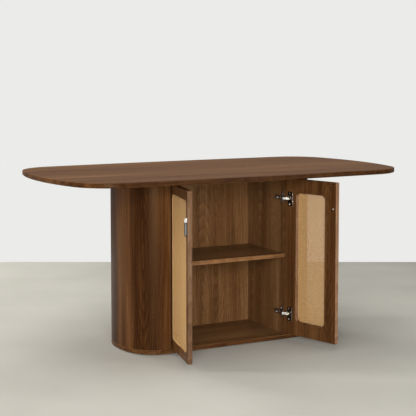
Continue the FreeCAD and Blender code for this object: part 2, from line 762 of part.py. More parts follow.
def make_door_panel(name, side):
    body = new_body(f"{name}_door_panel")
    # XZ_Plane faces -Y, so an offset along its normal is a negative y
    face = new_sketch(body, "XZ_Plane", cell("axis_from_face"))
    low, high = door_span(side, 0, door_width)
    draw_rectangle(face, low, high, door_bottom, door_bottom + door_height)
    blank = pad(body, face, cell("door_thickness"), reverse=True)
    dress(body, "Fillet", blank, lambda edge: True, cell("door_edge_radius"))

    window = new_sketch(body, "XZ_Plane", cell("axis_from_face"))
    low, high = door_span(side, cell("inner_stile"), door_width - cell("inner_stile"))
    draw_rounded_rectangle(window, low, high, door_bottom + cell("inner_rail"),
                           door_bottom + door_height - cell("inner_rail"),
                           cell("inner_corner_radius"))
    pocket(body, window, cell("door_thickness"))

    rebate = new_sketch(body, "XZ_Plane", cell("axis_from_face"))
    low, high = door_span(side, cell("outer_stile"), door_width - cell("outer_stile"))
    draw_rounded_rectangle(rebate, low, high, door_bottom + cell("outer_rail"),
                           door_bottom + door_height - cell("outer_rail"),
                           cell("outer_corner_radius"))
    pocket(body, rebate, cell("rebate_depth"))

    cups = new_sketch(body, "XZ_Plane", -inner_face_y)
    for _, height in hinge_heights:
        draw_circle(cups, door_x(side, cup_centre_u()), height,
                    cell("cup_diameter") + cell("cup_fit"))
    pocket(body, cups, cell("cup_depth") + cell("cup_fit"), reverse=True)

    pilots = new_sketch(body, "XZ_Plane", -inner_face_y)
    for u, height in cup_screw_places():
        draw_circle(pilots, door_x(side, u), height, cell("small_screw_shank") + cell("pin_fit"))
    pocket(body, pilots, cell("small_screw_length"), reverse=True)

    through = new_sketch(body, "XZ_Plane", -inner_face_y)
    draw_circle(through, door_x(side, door_width - cell("pull_from_edge")),
                cell("pull_height") + cell("pull_screw_rise"), cell("small_screw_shank") + cell("pin_fit"))
    pocket(body, through, cell("door_thickness"), reverse=True)
    return keep(hang(body, name, side), f"{name}_door_panel")


def cane_outline(body, side, inset, depth):
    sketch = new_sketch(body, "XZ_Plane", cell("axis_from_face") - depth)
    inset = as_size(inset)
    low, high = door_span(side, cell("outer_stile") + inset, door_width - cell("outer_stile") - inset)
    draw_rounded_rectangle(sketch, low, high, door_bottom + cell("outer_rail") + inset,
                           door_bottom + door_height - cell("outer_rail") - inset,
                           cell("outer_corner_radius") - inset)
    return sketch


def make_cane(name, side):
    """The woven cane sheet on the rebate's ledge, and the reed spline that borders it."""
    sheet_body = new_body(f"{name}_cane_panel")
    back = cell("rebate_depth")
    pad(sheet_body, cane_outline(sheet_body, side, cell("cane_fit"), back), cell("cane_thickness"))
    keep(hang(sheet_body, name, side), f"{name}_cane_panel")

    spline = new_body(f"{name}_cane_spline")
    front = back - cell("cane_thickness")
    pad(spline, cane_outline(spline, side, cell("cane_fit"), front), cell("spline_height"))
    inner = cane_outline(spline, side, cell("cane_fit") + cell("spline_width"), front)
    pocket(spline, inner, reverse=True)
    keep(hang(spline, name, side), f"{name}_cane_spline")


def make_cup(name, side, level_name, height):
    """A drawn steel cup let into the door, with the flange that is screwed to its inner face."""
    body = new_body("hinge_cup")
    centre_x = door_x(side, cup_centre_u())
    barrel = new_sketch(body, "XZ_Plane", -inner_face_y)
    draw_circle(barrel, centre_x, height, cell("cup_diameter"))
    pad(body, barrel, cell("cup_depth"))
    flange = new_sketch(body, "XZ_Plane", -inner_face_y)
    far_edge = cell("flange_near_edge") + cell("flange_width")
    low, high = door_span(side, cell("flange_near_edge"), far_edge)
    half_height = cell("flange_height") / 2
    draw_rounded_rectangle(flange, low, high, height - half_height, height + half_height,
                           cell("flange_corner_radius"))
    pad(body, flange, cell("flange_thickness"), reverse=True)
    rib = new_sketch(body, "XZ_Plane", -inner_face_y - cell("flange_thickness"))
    far_edge = far_edge - cell("flange_rib_edge")
    low, high = door_span(side, far_edge - cell("flange_rib_width"), far_edge)
    half_height = half_height - cell("flange_rib_inset")
    draw_rectangle(rib, low, high, height - half_height, height + half_height)
    ribbed = pad(body, rib, cell("flange_rib_height"), reverse=True)
    crest = (inner_face_y + cell("flange_thickness") + cell("flange_rib_height")).number
    dress(body, "Fillet", ribbed, lambda edge: lies_at(edge, "y", crest), cell("flange_rib_radius"))
    hollow = new_sketch(body, "XZ_Plane", -inner_face_y - cell("flange_thickness"))
    draw_circle(hollow, centre_x, height, cell("cup_diameter") - cell("cup_wall") * 2)
    pocket(body, hollow, cell("cup_depth") + cell("flange_thickness") - cell("cup_wall"),
           reverse=True)
    screw_x = door_x(side, cup_centre_u() + cell("cup_screw_offset"))
    holes = []
    for sign in (-1, 1):
        point = (screw_x, inner_face_y + cell("flange_thickness"),
                 height + cell("cup_screw_spacing") / 2 * sign)
        holes.append(screw_hole(point, "-y", cell("small_screw_shank"), cell("cup_screw_head"),
                                cell("flange_thickness"), cell("small_screw_length"),
                                cell("pin_fit")))
    return keep(hang(cut(body, holes), name, side), f"{name}_{level_name}_hinge_cup")


def make_cup_screws(name, side):
    screws = []
    for u, height in cup_screw_places():
        point = (door_x(side, u), inner_face_y + cell("flange_thickness"), height)
        screws.append(countersunk_screw(
            point, "-y", cell("small_screw_shank"), cell("cup_screw_head"),
            cell("flange_thickness"), cell("small_screw_length")))
    keep(hang(group("cup_screws", screws), name, side), f"{name}_cup_screws")


def make_bumper(name, side):
    """A clear bumper near the free upper corner, which meets the rail over the doors."""
    u = door_width - cell("outer_stile")
    height = ceiling - cell("stop_rail_height") / 2 - cell("door_top_gap")
    thickness = cell("carcass_setback") - cell("door_thickness") - cell("bumper_gap")
    pad_disc = rod(cell("bumper_diameter"), thickness, door_x(side, u), inner_face_y, height, "+y")
    keep(hang(group("bumper", [pad_disc]), name, side), f"{name}_door_bumper")


# ---------------------------------------------------------------- pendant pulls
def make_pull(name, side):
    """A low head on the outer face, slotted from below, and the pendant that hangs on its pin."""
    x = door_x(side, door_width - cell("pull_from_edge"))
    z = cell("pull_height")
    nose = cell("pull_nose_radius")
    pin_y = outer_face_y - cell("pull_pin_stand_off")
    half_width = cell("pull_head_width") / 2
    body = new_body("pull_head")
    profile = new_sketch(body, "YZ_Plane", x)
    draw_rectangle(profile, pin_y - nose, outer_face_y, z - nose, z + cell("pull_head_rise"))
    block = pad(body, profile, cell("pull_head_width"), middle=True)
    front, back = (pin_y - nose).number, as_size(outer_face_y).number
    bottom, top = (z - nose).number, (z + cell("pull_head_rise")).number
    rounded = dress(body, "Fillet", block,
                    lambda edge: lies_at(edge, "y", front) and lies_at(edge, "z", bottom),
                    nose - cell("pull_eye_land"))
    cheeks = ((x - half_width).number, (x + half_width).number)
    dress(body, "Fillet", rounded,
          lambda edge: not lies_at(edge, "y", back) and (
              any(lies_at(edge, "x", cheek) for cheek in cheeks)
              or lies_at(edge, "y", front) and lies_at(edge, "z", top)),
          cell("pull_head_rim"))
    slot_half = half_width - cell("pull_cheek")
    slot = new_sketch(body, "XZ_Plane", -outer_face_y)
    draw_rectangle(slot, x - slot_half, x + slot_half, z - nose - OVERRUN,
                   z + cell("pull_drop_thickness") / 2 + cell("pull_slot_gap"))
    pocket(body, slot, cell("pull_pin_stand_off") + nose, reverse=True)
    thread = new_sketch(body, "XZ_Plane", -outer_face_y)
    screw_z = z + cell("pull_screw_rise")
    draw_circle(thread, x, screw_z, cell("small_screw_shank") + cell("pin_fit"))
    pocket(body, thread, cell("pull_screw_grip"), reverse=True)
    pin = rod(cell("pull_pin_diameter"), cell("pull_head_width"), x - half_width, pin_y, z, "+x")
    keep(hang(fuse([body, pin]), name, side), f"{name}_pull_post")
    make_pull_drop(name, side, x, pin_y, z, slot_half - cell("pull_fit"))

    head_height = cell("pull_screw_head_height")
    point = (x, inner_face_y + head_height, screw_z)
    head = cone(cell("pull_screw_crown"), cell("pull_screw_head"), head_height, *point, "-y")
    length = cell("door_thickness") + cell("pull_screw_grip")
    stem = rod(cell("small_screw_shank"), length, x, inner_face_y, screw_z, "-y")
    keep(hang(group("pull_screw", [fuse([head, stem])]), name, side), f"{name}_pull_screw")


def make_pull_drop(name, side, x, pin_y, z, half_eye):
    """The pendant: a round eye between the head's cheeks, and a tongue with a soft rim."""
    body = new_body("pull_drop")
    half_thickness = cell("pull_drop_thickness") / 2
    profile = new_sketch(body, "XZ_Plane", -pin_y - half_thickness)
    draw_pendant(profile, x, z, half_eye, cell("pull_drop_width") / 2)
    plate = pad(body, profile, cell("pull_drop_thickness"))
    top = (z + half_thickness).number
    rounded = dress(body, "Fillet", plate,
                    lambda edge: lies_at(edge, "z", top) and edge.BoundBox.YLength < 1e-6,
                    half_thickness - cell("pull_eye_land"))
    faces = ((pin_y - half_thickness).number, (pin_y + half_thickness).number)
    shoulder = (z - cell("pull_nose_radius") - cell("pull_shoulder_gap")).number
    dress(body, "Fillet", rounded,
          lambda edge: any(lies_at(edge, "y", y) for y in faces) and edge.BoundBox.ZMax < shoulder + 1e-6,
          cell("pull_rim_radius"))
    bore = new_sketch(body, "YZ_Plane", x)
    draw_circle(bore, pin_y, z, cell("pull_pin_diameter") + cell("pull_pin_fit"))
    pocket(body, bore, cell("pull_drop_width") * 2, middle=True)
    keep(hang(body, name, side), f"{name}_pull_drop")


def draw_pendant(sketch, x, z, half_eye, half_width):
    """A narrow eye above, shoulders below the head, and a long tongue with a round end."""
    eye_top = z + cell("pull_drop_thickness") / 2
    shoulder = z - cell("pull_nose_radius") - cell("pull_shoulder_gap")
    wide_from = shoulder - cell("pull_cap_height")
    end = shoulder - cell("pull_drop_length") + half_width
    points = [(x - half_eye, eye_top), (x - half_eye, shoulder), (x - half_width, wide_from),
              (x - half_width, end), (x + half_width, end), (x + half_width, wide_from),
              (x + half_eye, shoulder), (x + half_eye, eye_top)]
    points = [(as_size(a), as_size(b)) for a, b in points]
    vectors = [Vector(a.number, b.number, 0) for a, b in points]
    for index in (0, 1, 2, 4, 5, 6, 7):
        sketch.addGeometry(Part.LineSegment(vectors[index], vectors[(index + 1) % 8]))
    circle = Part.Circle(Vector(as_size(x).number, points[3][1].number, 0), Vector(0, 0, 1),
                         half_width.number)
    arc = sketch.addGeometry(Part.ArcOfCircle(circle, math.pi, 2 * math.pi))
    order = (0, 1, 2, arc, 3, 4, 5, 6)
    for index, edge in enumerate(order):
        after = order[(index + 1) % 8]
        sketch.addConstraint(Sketcher.Constraint("Coincident", edge, 2, after, 1))
        dimension(sketch, "DistanceX", (-1, 1, edge, 1), points[index][0])
        dimension(sketch, "DistanceY", (-1, 1, edge, 1), points[index][1])
    dimension(sketch, "DistanceY", (-1, 1, arc, 3), points[3][1])


# ---------------------------------------------------------------- cup hinges on the cabinet
# Places here are measured from the closed door's outer hinge corner, as on the doors.
def cabinet_x(side, u):
    return (as_size(u) - door_edge_x) * side


def cabinet_span(side, u_low, u_high):
    low, high = cabinet_x(side, u_low), cabinet_x(side, u_high)
    return (low, high) if side == 1 else (high, low)


def cabinet_y(v):
    return as_size(v) - half_base_depth


panel_face_u = cell("side_panel_thickness") - cell("door_side_reveal")
arm_u = panel_face_u + cell("mount_plate_thickness")
pivot_v = cell("door_thickness") - cell("pivot_below_face")


def make_mount_plate(name, side, level_name, height):
    """A plate with two wings on the side panel, which carries the hinge arm."""
    low, high = cabinet_span(side, panel_face_u, arm_u)
    front_v = cell("carcass_setback") + cell("mount_plate_setback")
    screw_v = cell("carcass_setback") + cell("mount_screw_setback")
    stem = box(low, high, cabinet_y(front_v), cabinet_y(front_v + cell("mount_plate_length")),
               height - cell("mount_plate_height") / 2, height + cell("mount_plate_height") / 2)
    wings = box(low, high, cabinet_y(screw_v - cell("mount_wing_width") / 2),
                cabinet_y(screw_v + cell("mount_wing_width") / 2),
                height - cell("mount_wing_height") / 2, height + cell("mount_wing_height") / 2)
    holes = [screw_hole(*screw, cell("pin_fit")) for screw in mount_screws(side, height)]
    keep(cut(fuse([stem, wings]), holes), f"{name}_{level_name}_hinge_plate")


def mount_screws(side, height):
    into = "-x" if side == 1 else "+x"
    y = carcass_front + cell("mount_screw_setback")
    return [((cabinet_x(side, arm_u), y, height + cell("mount_screw_spacing") / 2 * sign), into,
             cell("small_screw_shank"), cell("small_screw_head"), cell("small_screw_head_height"),
             cell("small_screw_length")) for sign in (-1, 1)]


def make_mount_screws():
    screws = [countersunk_screw(*screw) for _, side in SIDES for _, height in hinge_heights
              for screw in mount_screws(side, height)]
    keep(group("hinge_plate_screws", screws), "hinge_plate_screws")


def make_arm(name, side, level_name, height):
    """A pressed channel over the mounting plate, cranked forward to a forked nose."""
    body = new_body("hinge_arm")
    front_v = cell("carcass_setback") + cell("arm_setback")
    rear_v = front_v + cell("arm_length")
    crown_u = arm_u + cell("arm_depth")
    tip_u = cell("pivot_from_edge")
    half_nose = cell("arm_nose_width") / 2
    channel = new_sketch(body, "XY_Plane", height)
    corners = [(arm_u, front_v), (crown_u, front_v), (crown_u, rear_v), (arm_u, rear_v)]
    draw_polygon(channel, [(cabinet_x(side, u), cabinet_y(v)) for u, v in corners])
    pad(body, channel, cell("arm_height"), middle=True)
    groove = new_sketch(body, "XY_Plane", height)
    inset = cell("arm_sheet")
    corners = [(arm_u - OVERRUN, front_v + inset), (crown_u - inset, front_v + inset),
               (crown_u - inset, rear_v + OVERRUN), (arm_u - OVERRUN, rear_v + OVERRUN)]
    draw_polygon(groove, [(cabinet_x(side, u), cabinet_y(v)) for u, v in corners])
    pocket(body, groove, cell("arm_height") - inset * 2, middle=True)
    nose = new_sketch(body, "XY_Plane", height)
    reach_v = pivot_v - half_nose
    corners = [(crown_u - cell("arm_crank"), front_v), (tip_u - half_nose, cell("carcass_setback")),
               (tip_u - half_nose, reach_v), (tip_u + half_nose, reach_v),
               (tip_u + half_nose, cell("carcass_setback")), (crown_u, front_v + cell("arm_crank_length"))]
    draw_polygon(nose, [(cabinet_x(side, u), cabinet_y(v)) for u, v in corners])
    pad(body, nose, cell("arm_nose_height"), middle=True)
    fork = new_sketch(body, "XY_Plane", height)
    clear_v = pivot_v + cell("link_width") / 2 + cell("fork_clearance")
    reach_u = half_nose + OVERRUN
    corners = [(tip_u - reach_u, reach_v - OVERRUN), (tip_u + reach_u, reach_v - OVERRUN),
               (tip_u + reach_u, clear_v), (tip_u - reach_u, clear_v)]
    draw_polygon(fork, [(cabinet_x(side, u), cabinet_y(v)) for u, v in corners])
    pocket(body, fork, cell("link_height") + cell("link_fit") * 2, middle=True)
    pin = rod(cell("pivot_pin_diameter"), cell("arm_nose_height"), cabinet_x(side, tip_u),
              cabinet_y(pivot_v), height - cell("arm_nose_height") / 2)
    keep(fuse([body, pin]), f"{name}_{level_name}_hinge_arm")


def make_link(name, side, level_name, height):
    """A flat link from the arm's pin into the cup, drawn along +x from the arm's pin."""
    body = new_body("hinge_link")
    outline = new_sketch(body, "XY_Plane", 0)
    length, radius = cell("link_length"), cell("link_width") / 2
    draw_slot(outline, length, radius)
    pad(body, outline, cell("link_height"), middle=True)
    eye = new_sketch(body, "XY_Plane", 0)
    draw_circle(eye, 0, 0, cell("pivot_pin_diameter") + cell("link_fit"))
    pocket(body, eye, cell("link_height"), middle=True)
    end_pin = rod(cell("pivot_pin_diameter"), cell("arm_nose_height"), length, 0,
                  cell("arm_nose_height") / -2)
    link = fuse([body, end_pin])
    turn = cell("link_closed_angle") + cell("link_ratio") * cell(f"{name}_door_open")
    if side == -1:
        turn = 540 - turn
    link.Placement = Placement(Vector(), Rotation(Vector(0, 0, 1), 90))
    link.setExpression("Placement.Rotation.Angle", turn.text)
    move(link, cabinet_x(side, cell("pivot_from_edge")), cabinet_y(pivot_v), height)
    keep(link, f"{name}_{level_name}_hinge_link")


def draw_slot(sketch, length, radius):
    """A bar with two round ends, from the origin along x."""
    r, far = radius.number, length.number
    normal = Vector(0, 0, 1)
    sketch.addGeometry(Part.LineSegment(Vector(0, -r, 0), Vector(far, -r, 0)))
    far_circle = Part.Circle(Vector(far, 0, 0), normal, r)
    sketch.addGeometry(Part.ArcOfCircle(far_circle, -math.pi / 2, math.pi / 2))
    sketch.addGeometry(Part.LineSegment(Vector(far, r, 0), Vector(0, r, 0)))
    near_circle = Part.Circle(Vector(0, 0, 0), normal, r)
    sketch.addGeometry(Part.ArcOfCircle(near_circle, math.pi / 2, math.pi * 1.5))
    for index in range(4):
        sketch.addConstraint(Sketcher.Constraint("Tangent", index, 2, (index + 1) % 4, 1))
    sketch.addConstraint(Sketcher.Constraint("Coincident", 3, 3, -1, 1))
    sketch.addConstraint(Sketcher.Constraint("Horizontal", 0))
    dimension(sketch, "Radius", (3,), radius)
    dimension(sketch, "DistanceX", (-1, 1, 1, 3), length)


# ---------------------------------------------------------------- the whole table
def build():
    make_table_top()
    make_top_fixings()
    make_plates()
    make_panel_screws()
    make_glides()
    make_back_wall()
    make_inner_back()
    make_shelf()
    make_mount_screws()
    for name, side in SIDES:
        end_wall = make_end_wall(name, side)
        make_end_structure(name, side, end_wall)
        make_side_panel(name, side)
        make_door_panel(name, side)
        make_cane(name, side)
        make_cup_screws(name, side)
        make_bumper(name, side)
        make_pull(name, side)
        for level_name, height in hinge_heights:
            make_cup(name, side, level_name, height)
            make_mount_plate(name, side, level_name, height)
            make_arm(name, side, level_name, height)
            make_link(name, side, level_name, height)


def check():
    """Every object has to be sound before anything is written."""
    for thing in document.Objects:
        if "Invalid" in thing.State or "Error" in thing.State:
            raise RuntimeError(f"{thing.Label} failed: {thing.State}")
    for thing in subparts:
        if thing.Shape.isNull() or not thing.Shape.isValid() or not thing.Shape.Solids:
            raise RuntimeError(f"{thing.Label} has no sound shape")


build()
document.recompute()
check()
os.makedirs("parts", exist_ok=True)
for thing in subparts:
    thing.Shape.exportStep(f"parts/{thing.Label}.step")
print(len(subparts), "sub-parts,", sum(len(thing.Shape.Solids) for thing in subparts), "solids")
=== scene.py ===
import json
import math

import bpy
from mathutils import Matrix, Vector


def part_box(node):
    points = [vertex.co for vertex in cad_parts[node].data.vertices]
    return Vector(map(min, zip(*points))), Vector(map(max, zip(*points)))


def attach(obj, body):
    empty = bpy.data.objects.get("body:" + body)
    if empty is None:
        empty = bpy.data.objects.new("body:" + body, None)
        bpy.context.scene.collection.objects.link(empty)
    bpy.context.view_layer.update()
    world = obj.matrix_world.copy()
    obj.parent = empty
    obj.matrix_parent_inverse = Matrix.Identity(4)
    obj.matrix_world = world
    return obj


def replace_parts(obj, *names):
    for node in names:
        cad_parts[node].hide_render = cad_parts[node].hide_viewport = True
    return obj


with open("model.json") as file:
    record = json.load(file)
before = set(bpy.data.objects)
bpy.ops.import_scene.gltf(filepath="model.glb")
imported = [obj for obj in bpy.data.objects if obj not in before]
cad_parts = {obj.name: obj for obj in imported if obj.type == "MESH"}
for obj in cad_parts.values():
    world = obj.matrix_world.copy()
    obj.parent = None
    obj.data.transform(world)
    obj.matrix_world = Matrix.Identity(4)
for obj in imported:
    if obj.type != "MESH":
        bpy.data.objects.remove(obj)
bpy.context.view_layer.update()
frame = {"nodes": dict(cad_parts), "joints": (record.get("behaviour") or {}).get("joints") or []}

nodes = frame["nodes"]
joints = {joint["name"]: joint for joint in frame["joints"]}
doorSides = (("left", 1), ("right", -1))


def hexToLinear(code):
    channels = [int(code[i:i + 2], 16) / 255 for i in (1, 3, 5)]
    return (*[c / 12.92 if c <= 0.04045 else ((c + 0.055) / 1.055) ** 2.4 for c in channels], 1.0)


def addNode(tree, kind, settings=None, links=None):
    # a setting is an attribute of the node or, failing that, the value of one of its inputs
    node = tree.nodes.new("ShaderNode" + kind)
    for name, value in (settings or {}).items():
        if isinstance(name, str) and hasattr(node, name):
            setattr(node, name, value)
        else:
            node.inputs[name].default_value = value
    for name, source in (links or {}).items():
        tree.links.new(source, node.inputs[name])
    return node


def startMaterial(name, settings):
    # a material with its principled shader set, ready for the pattern nodes
    material = bpy.data.materials.new(name)
    material.use_nodes = True
    tree = material.node_tree
    tree.nodes.clear()
    shader = addNode(tree, "BsdfPrincipled", settings)
    addNode(tree, "OutputMaterial", {}, {"Surface": shader.outputs["BSDF"]})
    return material, tree, shader


def setRamp(ramp, stops):
    elements = ramp.color_ramp.elements
    stops = list(stops)
    while len(elements) < len(stops):
        elements.new(0.5)
    for element, (position, colour) in zip(elements, stops):
        element.position = position
        element.color = hexToLinear(colour)


def pieceFromMesh(name, points, faces, material, body, smooth=True):
    mesh = bpy.data.meshes.new(name)
    mesh.from_pydata(points, [], faces)
    mesh.validate()
    mesh.materials.append(material)
    for polygon in mesh.polygons:
        polygon.use_smooth = smooth
    piece = bpy.data.objects.new(name, mesh)
    bpy.context.scene.collection.objects.link(piece)
    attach(piece, body)
    return piece


# place in metres, angles in degrees, lens and sensor in millimetres
cameraLook = {"place": (-2.4157, -4.4418, 1.2032), "tilt": 85.0, "turn": -28.4, "lens": 98.98,
              "sensor": 36, "shiftDown": 0.0952, "farthest": 60}

cameraData = bpy.data.cameras.new("camera")
cameraData.lens = cameraLook["lens"]
cameraData.sensor_width = cameraLook["sensor"]
cameraData.shift_y = -cameraLook["shiftDown"]
cameraData.clip_end = cameraLook["farthest"]
camera = bpy.data.objects.new("camera", cameraData)
camera.location = cameraLook["place"]
camera.rotation_euler = (math.radians(cameraLook["tilt"]), 0, math.radians(cameraLook["turn"]))
bpy.context.scene.collection.objects.link(camera)
bpy.context.scene.camera = camera
bpy.context.scene.view_settings.view_transform = "Standard"

# the floor lies square to the camera; behind is where it ends, which sets the height of the horizon
floorLook = {"colour": "#bab7ad", "darker": "#aba89e", "roughness": 0.7, "gloss": 0.2,
             "cloudScale": 1.3, "cloudDetail": 4.0, "halfWidth": 4.5, "behind": 2.0, "before": 3.4}


def paleFloor(look):
    # satin sealed screed: even and pale, a faint cloudy mottling and a soft reflection
    material, tree, shader = startMaterial("satinSealedScreed", {
        "Roughness": look["roughness"], "Specular IOR Level": look["gloss"]})
    place = addNode(tree, "TexCoord").outputs["Object"]
    clouds = addNode(tree, "TexNoise", {"Scale": look["cloudScale"], "Detail": look["cloudDetail"]},
                     {"Vector": place})
    ramp = addNode(tree, "ValToRGB", {}, {"Fac": clouds.outputs["Fac"]})
    setRamp(ramp, [(0.3, look["darker"]), (0.7, look["colour"])])
    tree.links.new(ramp.outputs["Color"], shader.inputs["Base Color"])
    mesh = bpy.data.meshes.new("floor")
    wide, back, front = look["halfWidth"], look["behind"], -look["before"]
    turn = Matrix.Rotation(math.radians(cameraLook["turn"]), 4, "Z")
    corners = [turn @ Vector(corner) for corner in
               ((-wide, front, 0), (wide, front, 0), (wide, back, 0), (-wide, back, 0))]
    mesh.from_pydata(corners, [], [(0, 1, 2, 3)])
    mesh.materials.append(material)
    floor = bpy.data.objects.new("floor", mesh)
    bpy.context.scene.collection.objects.link(floor)


paleFloor(floorLook)

# seenIn says whether a softbox shows in diffuse light, in reflections (gloss) or in both
studioLook = {
    "backdrop": "#ebebe9", "ambient": 0.22,
    "softboxes": {
        "overhead": {"place": (0.0, 0.0, 3.4), "aim": (0, 0, 0.5), "size": (3.6, 2.8),
                     "watts": 70, "seenIn": "both"},
        "key": {"place": (-2.6, -5.0, 1.5), "aim": (0, 0, 0.4), "size": (2.4, 1.8),
                "watts": 330, "seenIn": "diffuse"},
        "keySheen": {"place": (-2.6, -5.0, 1.5), "aim": (0, 0, 0.4), "size": (2.4, 1.8),
                     "watts": 300, "seenIn": "gloss"},
        # a narrow upright strip that draws one soft line down the left end of the drum
        "drumSheen": {"place": (-2.2, -3.65, 0.7), "aim": (-0.36, -0.17, 0.4),
                      "size": (0.12, 1.4), "watts": 60, "seenIn": "gloss"},
        "sparkle": {"place": (-2.0, -4.6, 1.9), "aim": (0, 0, 0.4), "size": (0.6, 0.6),
                    "watts": 25, "seenIn": "gloss"},
        "frontRight": {"place": (1.9, -4.0, 1.2), "aim": (0, 0, 0.4), "size": (0.8, 2.0),
                       "watts": 50, "seenIn": "both"},
        "backLeft": {"place": (-3.6, 1.5, 1.4), "aim": (-0.3, 0, 0.4), "size": (0.6, 2.0),
                     "watts": 85, "seenIn": "diffuse"},
        "backRim": {"place": (-1.6, 4.0, 1.5), "aim": (0, 0, 0.4), "size": (1.6, 1.6),
                    "watts": 120, "seenIn": "diffuse"},
    },
}


def lightStudio(look):
    world = bpy.data.worlds.new("studio")
    bpy.context.scene.world = world
    world.use_nodes = True
    tree = world.node_tree
    tree.nodes.clear()
    pale = hexToLinear(look["backdrop"])
    seen = addNode(tree, "Background", {"Color": pale, "Strength": 1.0})
    cast = addNode(tree, "Background", {"Color": (1, 1, 1, 1), "Strength": look["ambient"]})
    path = addNode(tree, "LightPath")
    mixed = addNode(tree, "MixShader", {}, {0: path.outputs["Is Camera Ray"],
                                            1: cast.outputs[0], 2: seen.outputs[0]})
    addNode(tree, "OutputWorld", {}, {"Surface": mixed.outputs[0]})
    for name, box in look["softboxes"].items():
        data = bpy.data.lights.new(name, "AREA")
        data.shape = "RECTANGLE"
        data.size, data.size_y = box["size"]
        data.energy = box["watts"]
        lamp = bpy.data.objects.new(name, data)
        lamp.location = box["place"]
        lamp.visible_glossy = box["seenIn"] != "diffuse"
        lamp.visible_diffuse = box["seenIn"] != "gloss"
        facing = Vector(box["aim"]) - lamp.location
        lamp.rotation_euler = facing.to_track_quat("-Z", "Y").to_euler()
        bpy.context.scene.collection.objects.link(lamp)


lightStudio(studioLook)
print("camera, floor and light ready")

# metres; each round end of the drum is near enough an arc of endRadius round a point that is
# endCentre from the middle
drumShape = {"endCentre": 0.26, "endRadius": 0.2}


